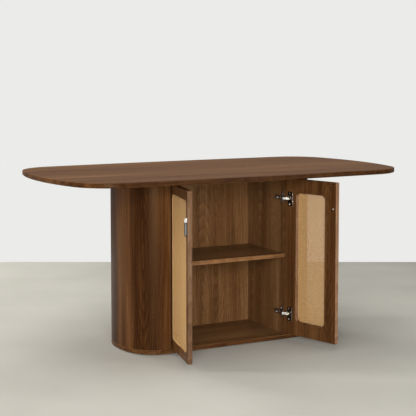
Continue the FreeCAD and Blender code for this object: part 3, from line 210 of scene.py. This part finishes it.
def walnutVeneer(name, look):
    # American walnut veneer, sliced, laid on board and sprayed with satin lacquer: brown with
    # darker growth rings, broad streaks, short dark pores and a soft sheen
    material, tree, shader = startMaterial(name, {
        "IOR": look["ior"], "Specular IOR Level": look["gloss"],
        "Specular Tint": hexToLinear(look["glossTint"])})
    surface = addNode(tree, "TexCoord")
    place = surface.outputs["Object"]
    along, across = look["along"], look["across"]
    lengthwise = addNode(tree, "VectorMath", {"operation": "DOT_PRODUCT", 1: along},
                         {0: place}).outputs["Value"]
    if across == "round":
        # the curved ends: distance round the arc that follows the wall
        apart = addNode(tree, "SeparateXYZ", {}, {"Vector": place})
        out = addNode(tree, "Math", {"operation": "ABSOLUTE"}, {0: apart.outputs["X"]})
        out = addNode(tree, "Math", {"operation": "SUBTRACT", 1: drumShape["endCentre"]},
                      {0: out.outputs[0]})
        angle = addNode(tree, "Math", {"operation": "ARCTAN2"},
                        {0: apart.outputs["Y"], 1: out.outputs[0]})
        sideways = addNode(tree, "Math", {"operation": "MULTIPLY", 1: drumShape["endRadius"]},
                           {0: angle.outputs[0]}).outputs[0]
    else:
        sideways = addNode(tree, "VectorMath", {"operation": "DOT_PRODUCT", 1: across},
                           {0: place}).outputs["Value"]

    # each leaf of veneer has its own figure and tone
    leaves = addNode(tree, "Math", {"operation": "MULTIPLY_ADD", 1: 1 / look["leafWidth"],
                                    2: look["leafShift"]}, {0: sideways}).outputs[0]
    leaf = addNode(tree, "Math", {"operation": "FLOOR"}, {0: leaves}).outputs[0]
    withinLeaf = addNode(tree, "Math", {"operation": "FRACT"}, {0: leaves}).outputs[0]
    chance = addNode(tree, "TexWhiteNoise", {"noise_dimensions": "1D"}, {"W": leaf})
    drawn = addNode(tree, "SeparateColor", {}, {"Color": chance.outputs["Color"]})

    # growth rings cut by the slice: arches where the ring centre is near, straight lines
    # away from it
    offCentre = addNode(tree, "Math", {"operation": "MULTIPLY_ADD", 1: -look["wander"],
                                       2: look["wander"] / 2 - 0.5},
                        {0: drawn.outputs["Red"]}).outputs[0]
    ringX = addNode(tree, "Math", {"operation": "ADD"}, {0: withinLeaf, 1: offCentre}).outputs[0]
    ringX = addNode(tree, "Math", {"operation": "MULTIPLY", 1: look["leafWidth"]},
                    {0: ringX}).outputs[0]
    started = addNode(tree, "Math", {"operation": "MULTIPLY_ADD", 1: -look["archDrift"],
                                     2: -look["archHeight"]},
                      {0: drawn.outputs["Green"]}).outputs[0]
    ringY = addNode(tree, "Math", {"operation": "ADD"}, {0: lengthwise, 1: started}).outputs[0]
    ringY = addNode(tree, "Math", {"operation": "MULTIPLY", 1: look["slope"]},
                    {0: ringY}).outputs[0]
    ringPlace = addNode(tree, "CombineXYZ", {"Z": look["depth"]}, {"X": ringX, "Y": ringY})
    ringSize = addNode(tree, "VectorMath", {"operation": "LENGTH"},
                       {0: ringPlace.outputs[0]}).outputs["Value"]

    # noise layers stretched along the grain: width and length of one mark in millimetres
    stretch = {}
    for layer, (width, length, detail) in look["marks"].items():
        scale = [abs(a) * width / length + (1 - abs(a)) for a in along]
        squeezed = addNode(tree, "Mapping", {"Scale": scale}, {"Vector": place})
        stretch[layer] = addNode(tree, "TexNoise", {
            "Scale": 1000 / width, "Detail": detail, "Roughness": look["markRoughness"]},
            {"Vector": squeezed.outputs[0]}).outputs["Fac"]
    rings = addNode(tree, "Math", {"operation": "MULTIPLY", 1: 1000 / look["ringPitch"]},
                    {0: ringSize}).outputs[0]
    wobble = addNode(tree, "Math", {"operation": "MULTIPLY_ADD", 1: look["ringWobble"]},
                     {0: stretch["streaks"], 2: rings}).outputs[0]
    ring = addNode(tree, "Math", {"operation": "FRACT"}, {0: wobble}).outputs[0]

    # everything adds up to one tone round 0.5, which the ramp turns to colour
    allShares = look["ringShare"] + look["leafShare"] + sum(look["shares"].values())
    tone = addNode(tree, "Math", {"operation": "MULTIPLY_ADD", 1: look["ringShare"],
                                  2: 0.5 - allShares / 2 + look["lift"]}, {0: ring}).outputs[0]
    tone = addNode(tree, "Math", {"operation": "MULTIPLY_ADD", 1: look["leafShare"]},
                   {0: drawn.outputs["Blue"], 2: tone}).outputs[0]
    for layer, share in look["shares"].items():
        tone = addNode(tree, "Math", {"operation": "MULTIPLY_ADD", 1: share},
                       {0: stretch[layer], 2: tone}).outputs[0]
    # the heart of the leaf is darker than its sides
    heartStart, heartEnd = look["heartReach"]
    fromHeart = addNode(tree, "Math", {"operation": "ABSOLUTE"}, {0: ringX}).outputs[0]
    heart = addNode(tree, "MapRange", {
        "interpolation_type": "SMOOTHSTEP", "From Min": look["leafWidth"] * heartStart,
        "From Max": look["leafWidth"] * heartEnd, "To Min": -look["heartShare"], "To Max": 0.0},
        {"Value": fromHeart}).outputs["Result"]
    tone = addNode(tree, "Math", {"operation": "ADD"}, {0: tone, 1: heart}).outputs[0]
    ramp = addNode(tree, "ValToRGB", {}, {"Fac": tone})
    setRamp(ramp, look["tones"])
    wood = ramp.outputs["Color"]
    if "edgeTones" in look:
        # the edge band on the narrow faces has its own tones; on the doors these tones also hold
        # painted light
        turned = addNode(tree, "VectorMath", {"operation": "DOT_PRODUCT", 1: look["edgeAxis"]},
                         {0: surface.outputs["Normal"]}).outputs["Value"]
        turned = addNode(tree, "Math", {"operation": "ABSOLUTE"}, {0: turned}).outputs[0]
        onEdge = addNode(tree, "Math", {"operation": look["edgeWhere"], 1: look["edgeTurn"]},
                         {0: turned}).outputs[0]
        edgeRamp = addNode(tree, "ValToRGB", {}, {"Fac": tone})
        setRamp(edgeRamp, look["edgeTones"])
        wood = addNode(tree, "Mix", {"data_type": "RGBA"},
                       {0: onEdge, 6: wood, 7: edgeRamp.outputs["Color"]}).outputs[2]

    # pores: short dark dashes
    poreStart, poreEnd = look["poreReach"]
    pores = addNode(tree, "MapRange", {"From Min": poreStart, "From Max": poreEnd,
                                       "To Min": 0.0, "To Max": 1.0},
                    {"Value": stretch["pores"]}).outputs["Result"]
    darker = addNode(tree, "Mix", {"data_type": "RGBA", "blend_type": "MULTIPLY",
                                   7: hexToLinear(look["poreTone"])}, {0: pores, 6: wood})
    tree.links.new(darker.outputs[2], shader.inputs["Base Color"])
    sheen = addNode(tree, "Math", {"operation": "MULTIPLY_ADD", 1: look["sheenSpread"],
                                   2: look["roughness"] - look["sheenSpread"] / 2},
                    {0: stretch["lines"]})
    tree.links.new(sheen.outputs[0], shader.inputs["Roughness"])
    relief = addNode(tree, "Math", {"operation": "MULTIPLY_ADD", 1: -look["poreDepth"]},
                     {0: pores, 2: stretch["lines"]})
    bump = addNode(tree, "Bump", {"Strength": look["bump"], "Distance": look["bumpDistance"]},
                   {"Height": relief.outputs[0]})
    tree.links.new(bump.outputs[0], shader.inputs["Normal"])
    return material


# width and length in millimetres and detail of each kind of mark; the pores are drawn three times
# as coarse as real ones, which wouldn't show
walnutMarks = {"streaks": (38, 900, 3.0), "lines": (5, 260, 4.0), "pores": (1.1, 16, 1.0)}
uprightWalnut = {
    "along": (0, 0, 1), "across": (1, 0, 0), "leafWidth": 0.14, "leafShift": 0.3, "wander": 1.2,
    "archHeight": -0.1, "archDrift": 0.9, "slope": 0.14, "depth": 0.006,
    "ringPitch": 8.5, "ringWobble": 1.6, "ringShare": 0.15,
    "leafShare": 0.14, "heartShare": 0.06, "heartReach": (0.12, 0.42), "lift": 0.04,
    "shares": {"streaks": 0.8, "lines": 0.5}, "marks": walnutMarks, "markRoughness": 0.55,
    "tones": [(0.22, "#3f2611"), (0.5, "#654528"), (0.8, "#866442")],
    "edgeTurn": 0.7, "poreTone": "#8c7a6b", "poreReach": (0.60, 0.72), "poreDepth": 0.6,
    "roughness": 0.38, "sheenSpread": 0.16, "bump": 0.25, "bumpDistance": 0.0002,
    "ior": 1.5, "gloss": 0.2, "glossTint": "#e0bd97",
}
darkTones = [(0.22, "#2b1608"), (0.5, "#4a2d16"), (0.8, "#6a4829")]
drumWalnut = walnutVeneer("walnutVeneerDrum", uprightWalnut | {
    "across": "round", "leafWidth": 0.21, "leafShift": 1.275, "wander": 0.0, "archHeight": 0.42,
    "archDrift": 0.0, "slope": 0.1, "ringPitch": 7.5, "heartShare": 0.24, "lift": 0.0,
    "tones": darkTones, "gloss": 0.15, "glossTint": "#dcae7c"})
carcassWalnut = walnutVeneer("walnutVeneerCarcass", uprightWalnut)
sideWalnut = walnutVeneer("walnutVeneerSides", uprightWalnut | {"across": (0, 1, 0)})
lyingWalnut = uprightWalnut | {
    "along": (1, 0, 0), "across": (0, 1, 0), "edgeAxis": (0, 1, 0), "edgeWhere": "GREATER_THAN",
    "shares": {"streaks": 0.8, "lines": 0.9}, "lift": 0.02}
shelfWalnut = walnutVeneer("walnutVeneerShelf", lyingWalnut | {
    "edgeTones": [(0.22, "#563820"), (0.5, "#775334"), (0.8, "#936d49")]})
plateWalnut = walnutVeneer("walnutVeneerPlate", lyingWalnut | {
    "edgeAxis": (0, 0, 1), "edgeWhere": "LESS_THAN", "edgeTones": darkTones})
topWalnut = walnutVeneer("walnutVeneerTop", uprightWalnut | {
    "along": (1, 0, 0), "across": (0, 1, 0), "leafWidth": 0.2, "archDrift": 1.6,
    "archHeight": -0.8, "ringShare": 0.1, "gloss": 0.12,
    "tones": [(0.22, "#41250e"), (0.5, "#674323"), (0.8, "#89623a")],
    "edgeAxis": (0, 0, 1), "edgeWhere": "LESS_THAN", "edgeTones": darkTones})
# door edges and window reveals: lighter than the faces, partly for a lighter edge band and partly
# as painted light; the right door's tones are lighter than the left's, which is painted light from
# the front right
bandTonesWithLight = {"left": [(0.22, "#3c281a"), (0.5, "#5f4532"), (0.8, "#785e48")],
             "right": [(0.22, "#4d3422"), (0.5, "#775740"), (0.8, "#957459")]}
doorWalnut = {}
for side, sign in doorSides:
    opened = sign * math.radians(joints[f"{side}_door_hinge"]["range_deg"][1])
    acrossDoor = (sign * math.cos(opened), -sign * math.sin(opened), 0)
    doorWalnut[side] = walnutVeneer(f"walnutVeneer{side.title()}Door", uprightWalnut | {
        "across": acrossDoor, "tones": darkTones,
        "edgeAxis": acrossDoor, "edgeWhere": "GREATER_THAN", "edgeTones": bandTonesWithLight[side]})


# detail of the grain, where its two colours lie in it, and the bump's height in metres
fineLook = {"noiseDetail": 3.0, "spread": (0.3, 0.7), "bumpDistance": 0.0001}


def fineFinish(name, look):
    # one maker for the small fittings: two near colours, a grain in millimetres that may be
    # stretched along one axis, a range of roughness and a fine relief
    material, tree, shader = startMaterial(name, look["shader"])
    place = addNode(tree, "TexCoord").outputs["Object"]
    squeezed = addNode(tree, "Mapping", {"Scale": look.get("stretch", (1, 1, 1))},
                       {"Vector": place})
    texture = addNode(tree, "TexNoise", {"Scale": 1000 / look["grain"],
                                         "Detail": fineLook["noiseDetail"]},
                      {"Vector": squeezed.outputs[0]}).outputs["Fac"]
    ramp = addNode(tree, "ValToRGB", {}, {"Fac": texture})
    setRamp(ramp, zip(fineLook["spread"], look["colours"]))
    tree.links.new(ramp.outputs["Color"], shader.inputs["Base Color"])
    gloss = addNode(tree, "MapRange", {"To Min": look["roughness"][0],
                                       "To Max": look["roughness"][1]}, {"Value": texture})
    tree.links.new(gloss.outputs["Result"], shader.inputs["Roughness"])
    bump = addNode(tree, "Bump", {"Strength": look["relief"],
                                  "Distance": fineLook["bumpDistance"]}, {"Height": texture})
    tree.links.new(bump.outputs[0], shader.inputs["Normal"])
    return material


metal = {"Metallic": 1.0}
fibre = {"IOR": 1.5}
finishes = {
    "walnut_top": topWalnut, "walnut_drum": drumWalnut, "walnut_carcass": carcassWalnut,
    # split rattan skin, woven: pale straw with a faint gloss, each strand a little different
    "cane": fineFinish("wovenCane", {
        "colours": ("#a87f4e", "#c29c69"), "grain": 6, "roughness": (0.4, 0.6),
        "relief": 0.1, "shader": fibre}),
    # rattan core, extruded round: straw coloured with fine lengthwise fibres, dull
    "reed": fineFinish("rattanReed", {
        "colours": ("#b08652", "#c69f6c"), "grain": 1.5, "stretch": (1, 1, 0.05),
        "roughness": (0.5, 0.65), "relief": 0.2, "shader": fibre}),
    # planed birch, left raw: pale cream, silky lines, matt
    "birch_frame": fineFinish("planedBirch", {
        "colours": ("#c9a97c", "#dcc39b"), "grain": 4, "stretch": (1, 1, 0.03),
        "roughness": (0.55, 0.7), "relief": 0.2, "shader": fibre}),
    # pressed steel, nickel plated: warm grey mirror a little softened by the press
    "nickel_hinge": fineFinish("nickelPlatedSteel", {
        "colours": ("#8f8b83", "#aaa59b"), "grain": 3, "roughness": (0.12, 0.2),
        "relief": 0.03, "shader": metal}),
    # folded steel, satin nickel plated: darker grey, blurred reflections
    "hinge_arm": fineFinish("satinNickelSteel", {
        "colours": ("#6f6b64", "#87827a"), "grain": 2, "roughness": (0.3, 0.42),
        "relief": 0.05, "shader": metal}),
    # stamped steel, tumbled and bright plated: nearly white, soft broad sheen
    "hinge_link_steel": fineFinish("stampedSteel", {
        "colours": ("#ece9e3", "#f6f4ef"), "grain": 2, "roughness": (0.46, 0.56),
        "relief": 0.05, "shader": metal}),
    # cast zinc, polished and nickel plated: bright and even, with soft-edged highlights
    "bright_nickel": fineFinish("polishedNickel", {
        "colours": ("#e6e3dc", "#f3f1eb"), "grain": 12, "roughness": (0.27, 0.3),
        "relief": 0.01, "shader": metal}),
    # cast zinc with a black nickel finish, brushed along the drop: dark, cool grey sheen
    "gunmetal": fineFinish("brushedGunmetal", {
        "colours": ("#66696b", "#808486"), "grain": 0.8, "stretch": (1, 1, 0.04),
        "roughness": (0.28, 0.4), "relief": 0.1, "shader": metal}),
    # turned steel, nickel plated: light warm grey, fairly sharp highlights
    "nickel_pin": fineFinish("turnedNickelSteel", {
        "colours": ("#bdb9b0", "#d5d1c8"), "grain": 1, "roughness": (0.15, 0.25),
        "relief": 0.04, "shader": metal}),
    # turned brass, left bare: warm yellow, fine lathe marks
    "brass_insert": fineFinish("turnedBrass", {
        "colours": ("#b08d4a", "#cfae68"), "grain": 1, "stretch": (0.1, 0.1, 1),
        "roughness": (0.25, 0.38), "relief": 0.1, "shader": metal}),
    # cold headed steel, zinc plated: bluish grey, slightly cloudy
    "zinc_steel": fineFinish("zincPlatedSteel", {
        "colours": ("#cfd0d1", "#e4e5e5"), "grain": 2, "roughness": (0.38, 0.5),
        "relief": 0.05, "shader": metal}),
    # moulded nylon: black, fine matt texture
    "black_glide": fineFinish("mouldedNylon", {
        "colours": ("#161616", "#222221"), "grain": 0.6, "roughness": (0.5, 0.62),
        "relief": 0.2, "shader": {"IOR": 1.53}}),
    # cast polyurethane dots: water clear, soft
    "clear_bumper": fineFinish("castPolyurethane", {
        "colours": ("#e4e4e0", "#efefec"), "grain": 3, "roughness": (0.3, 0.4),
        "relief": 0.02, "shader": {"IOR": 1.45, "Transmission Weight": 1.0}}),
}

# pieces whose grain runs another way than their slot's, or whose finish is their own
ownFinish = {"shelf": shelfWalnut, "base_bottom_plate": plateWalnut, "base_top_plate": plateWalnut}
for side, _ in doorSides:
    ownFinish[f"{side}_side_panel"] = sideWalnut
    ownFinish[f"{side}_door_panel"] = doorWalnut[side]
    for level in ("upper", "lower"):
        ownFinish[f"{side}_{level}_hinge_arm"] = finishes["hinge_arm"]
        ownFinish[f"{side}_{level}_hinge_plate"] = finishes["hinge_arm"]
for name, node in nodes.items():
    for holder in node.material_slots:
        slotName = holder.material.name.split(".")[0]
        holder.material = ownFinish.get(name) or finishes[slotName]
print("finishes on", len(nodes), "solids")


def doorTurn(side, sign):
    # the hinge's place, and the turns that close the open door and open the shut one
    hinge = joints[f"{side}_door_hinge"]
    closing = Matrix.Rotation(sign * math.radians(hinge["range_deg"][1]), 3, "Z")
    return Vector(hinge["pos_m"]), closing, closing.inverted()


def shutBox(name, pivot, closing):
    # a door node's middle and half size, measured on the shut door from its hinge
    shut = [closing @ (vertex.co - pivot) for vertex in nodes[name].data.vertices]
    low = Vector([min(point[i] for point in shut) for i in range(3)])
    high = Vector([max(point[i] for point in shut) for i in range(3)])
    return (low + high) / 2, (high - low) / 2


# metres; pitch and strandWidth are drawn a third coarser than a real close weave of 3 mm
caneLook = {"pitch": 0.004, "strandWidth": 0.0028, "rise": 0.00032, "thickness": 0.0005,
            "edgeGap": 0.0003, "endRise": 0.2, "cornerRadius": 0.018}


def weaveCane(side, sign, look):
    # plain weave over and under: every strand is a closed flat strip with a rounded face
    pivot, closing, opening = doorTurn(side, sign)
    middle, half = shutBox(f"{side}_cane_panel", pivot, closing)
    radius = look["cornerRadius"]
    axes = (0, 2)  # the shut door lies in X and Z
    counts = [int(2 * half[axis] / look["pitch"]) for axis in axes]
    points, faces = [], []
    for run, other in ((0, 1), (1, 0)):  # strands across the door, then upright ones
        halfRun = half[axes[run]] - look["edgeGap"]
        halfOther = half[axes[other]] - look["edgeGap"]
        for strand in range(counts[other]):
            off = (strand - (counts[other] - 1) / 2) * look["pitch"]
            into = max(0.0, abs(off) + look["strandWidth"] / 2 - (halfOther - radius))
            reach = halfRun - radius + math.sqrt(max(radius ** 2 - min(into, radius) ** 2, 0))
            stations = []
            for crossing in range(counts[run]):
                at = (crossing - (counts[run] - 1) / 2) * look["pitch"]
                over = 1 if (strand + crossing + run) % 2 else -1
                stations.append((at, over * look["rise"]))
            kept = [station for station in stations if abs(station[0]) < reach - look["pitch"] / 2]
            if len(kept) < 2:
                continue
            kept = [(-reach, -kept[0][1] * look["endRise"]), *kept,
                    (reach, -kept[-1][1] * look["endRise"])]
            start = len(points)
            for at, height in kept:
                for aside, up in ((-0.5, 0), (0, 0.5), (0.5, 0), (0, -0.5)):
                    flat = [0, height + up * look["thickness"], 0]
                    flat[axes[run]] = at
                    flat[axes[other]] = off + aside * look["strandWidth"]
                    points.append(opening @ (middle + Vector(flat)) + pivot)
            for i in range(len(kept) - 1):
                a = start + 4 * i
                faces += [(a + j, a + (j + 1) % 4, a + 4 + (j + 1) % 4, a + 4 + j)
                          for j in range(4)]
            faces += [(start + 3, start + 2, start + 1, start),
                      tuple(len(points) - 4 + j for j in range(4))]
    cane = pieceFromMesh(f"{side}_woven_cane", points, faces, finishes["cane"],
                         f"{side}_door", smooth=False)
    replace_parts(cane, f"{side}_cane_panel")
    return len(faces)


for side, sign in doorSides:
    print(side, "cane woven,", weaveCane(side, sign, caneLook), "faces")

# metres; half-round reed glued in the rebate over the edge of the cane, its two ends butted below
reedLook = {"width": 0.004, "cornerRadius": 0.0157, "cornerSteps": 9, "roundSteps": 8,
            "buttGap": 0.0004}


def layReed(side, sign, look):
    pivot, closing, opening = doorTurn(side, sign)
    middle, half = shutBox(f"{side}_cane_spline", pivot, closing)
    inset, radius = look["width"] / 2, look["cornerRadius"]
    wide, tall = half.x - inset - radius, half.z - inset - radius
    # the reed's line: place on the door's face, and which way is outward
    line = [(look["buttGap"] / 2, -tall - radius, 0, -1)]
    for quarter, (x, z) in enumerate(((wide, -tall), (wide, tall), (-wide, tall), (-wide, -tall))):
        for step in range(look["cornerSteps"] + 1):
            angle = math.pi / 2 * (quarter - 1 + step / look["cornerSteps"])
            outX, outZ = math.cos(angle), math.sin(angle)
            line.append((x + radius * outX, z + radius * outZ, outX, outZ))
    line.append((-look["buttGap"] / 2, -tall - radius, 0, -1))
    count = look["roundSteps"] + 1
    points, faces = [], []
    for x, z, outX, outZ in line:
        for step in range(count):
            angle = math.pi * step / (count - 1)
            aside, up = math.cos(angle) * inset, math.sin(angle) * 2 * half.y
            shut = middle + Vector((x + outX * aside, half.y - up, z + outZ * aside))
            points.append(opening @ shut + pivot)
    for i in range(len(line) - 1):
        a, b = i * count, (i + 1) * count
        faces += [(a + j, a + (j + 1) % count, b + (j + 1) % count, b + j) for j in range(count)]
    faces += [tuple(range(count))[::-1], tuple(len(points) - count + j for j in range(count))]
    reed = pieceFromMesh(f"{side}_half_round_reed", points, faces, finishes["reed"],
                         f"{side}_door")
    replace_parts(reed, f"{side}_cane_spline")


# millimetres: a profile of radius and height from the outer plane of the head inward, the height
# of its crown, and the half length, half width and depth of its cross recess
screwLook = {
    "cup": {"profile": [(1.9, 0.42), (2.45, 0.26), (2.8, 0.0), (1.5, -1.2), (1.5, -10.4),
                        (0.6, -12.0)],
            "crown": 0.5, "cross": (1.55, 0.34, 1.0)},
    "plate": {"profile": [(2.2, 0.5), (2.9, 0.3), (3.3, 0.0), (1.5, -1.8), (1.5, -10.4),
                          (0.6, -12.0)],
              "crown": 0.6, "cross": (1.8, 0.38, 1.3)},
    "pull": {"profile": [(2.1, 0.0), (2.75, -0.25), (3.15, -0.75), (3.3, -1.3), (3.3, -1.8),
                         (1.5, -1.8), (1.5, -27.8)],
             "crown": 0.1, "cross": (1.8, 0.38, 1.2)},
    "fixing": {"profile": [(2.2, 1.5), (2.9, 1.2), (3.4, 0.5), (3.4, 0.0), (2.0, 0.0),
                           (2.0, -5.5)],
               "crown": 1.6, "cross": (1.8, 0.38, 1.2)},
}
# metres and degrees; the cross narrows to recessFloor of its length and width at the bottom, and
# each screw of a piece stops at an angle of its own
driveLook = {"recessFloor": (0.45, 0.7), "clusterReach": 0.012, "firstTurn": 23, "nextTurn": 37,
             "sharpAngle": 35, "fixingSetback": 0.034}
ringPoints = 36  # twelve corners of the cross, and three points on each of its sides


def crossOutline(length, width):
    arm = [(length, -width), (length, width), (width, width)]
    corners = [(x * c - y * s, x * s + y * c)
               for c, s in ((1, 0), (0, 1), (-1, 0), (0, -1)) for x, y in arm]
    outline = []
    for start, end in zip(corners, corners[1:] + corners[:1]):
        outline += [(start[0] + (end[0] - start[0]) * t / 3, start[1] + (end[1] - start[1]) * t / 3)
                    for t in range(3)]
    return outline


def screwRings(look):
    # rings of points in step with the outline of the cross, from the bottom of its recess outward
    length, width, depth = look["cross"]
    shorter, narrower = driveLook["recessFloor"]
    rings = [[(x, y, look["crown"] - depth)
              for x, y in crossOutline(length * shorter, width * narrower)],
             [(x, y, look["crown"]) for x, y in crossOutline(length, width)]]
    angles = [math.radians(360 / ringPoints * (i - 1.5)) for i in range(ringPoints)]
    for radius, height in look["profile"]:
        rings.append([(radius * math.cos(a), radius * math.sin(a), height) for a in angles])
    return rings


def screwPlaces(name, outward, keep):
    # seen along their axis, the node's points fall into one cluster for each screw
    clusters = []
    for vertex in nodes[name].data.vertices:
        if not keep(vertex.co):
            continue
        level = vertex.co.dot(outward)
        flat = vertex.co - outward * level
        near = [cluster for cluster in clusters
                if (cluster[0][0] - flat).length < driveLook["clusterReach"]]
        if near:
            near[0].append((flat, level))
        else:
            clusters.append([(flat, level)])
    places = []
    for cluster in clusters:
        centre = Vector([(min(flat[i] for flat, _ in cluster)
                          + max(flat[i] for flat, _ in cluster)) / 2 for i in range(3)])
        places.append(centre + outward * max(level for _, level in cluster))
    return places


def driveScrews(name, places, look, body, slot):
    # places holds a point and the direction that the head faces for every screw of the piece
    points, faces = [], []
    rings = screwRings(look)
    for number, (place, outward) in enumerate(places):
        turn = math.radians(driveLook["firstTurn"] + driveLook["nextTurn"] * number)
        facing = outward.to_track_quat("Z", "Y").to_matrix() @ Matrix.Rotation(turn, 3, "Z")
        start = len(points)
        for ring in rings:
            points += [place + facing @ (Vector(point) / 1000) for point in ring]
        for i in range(len(rings) - 1):
            a = start + ringPoints * i
            b = a + ringPoints
            faces += [(a + j, b + j, b + (j + 1) % ringPoints, a + (j + 1) % ringPoints)
                      for j in range(ringPoints)]
        faces += [tuple(start + j for j in range(ringPoints)),
                  tuple(len(points) - 1 - j for j in range(ringPoints))]
    piece = pieceFromMesh(name, points, faces, finishes[slot], body)
    piece.data.set_sharp_from_angle(angle=math.radians(driveLook["sharpAngle"]))
    return piece


plateScrews = []
for side, sign in doorSides:
    layReed(side, sign, reedLook)
    inner = doorTurn(side, sign)[2] @ Vector((0, 1, 0))
    for part, node in (("cup", f"{side}_cup_screws"), ("pull", f"{side}_pull_screw")):
        places = [(place, inner) for place in screwPlaces(node, inner, lambda point: True)]
        screws = driveScrews(f"{side}_{part}_cross_screws", places, screwLook[part],
                             f"{side}_door", "zinc_steel")
        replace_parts(screws, node)
        print(side, part, "screws driven,", len(places))
    inward = Vector((sign, 0, 0))
    plateScrews += [(place, inward) for place in
                    screwPlaces("hinge_plate_screws", inward, lambda point: point.x * sign < 0)]
    # the screw that holds each hinge arm to its plate
    armScrews = []
    for level in ("upper", "lower"):
        low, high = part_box(f"{side}_{level}_hinge_arm")
        crown = high[0] if sign > 0 else low[0]
        armScrews.append((Vector((crown, high[1] - driveLook["fixingSetback"],
                                  (low[2] + high[2]) / 2)), inward))
    driveScrews(f"{side}_hinge_fixing_screws", armScrews, screwLook["fixing"],
                "cabinet", "zinc_steel")
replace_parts(driveScrews("hinge_plate_cross_screws", plateScrews, screwLook["plate"], "cabinet",
                        "zinc_steel"), "hinge_plate_screws")
print("reeds laid, and screws driven on the hinge plates,", len(plateScrews))
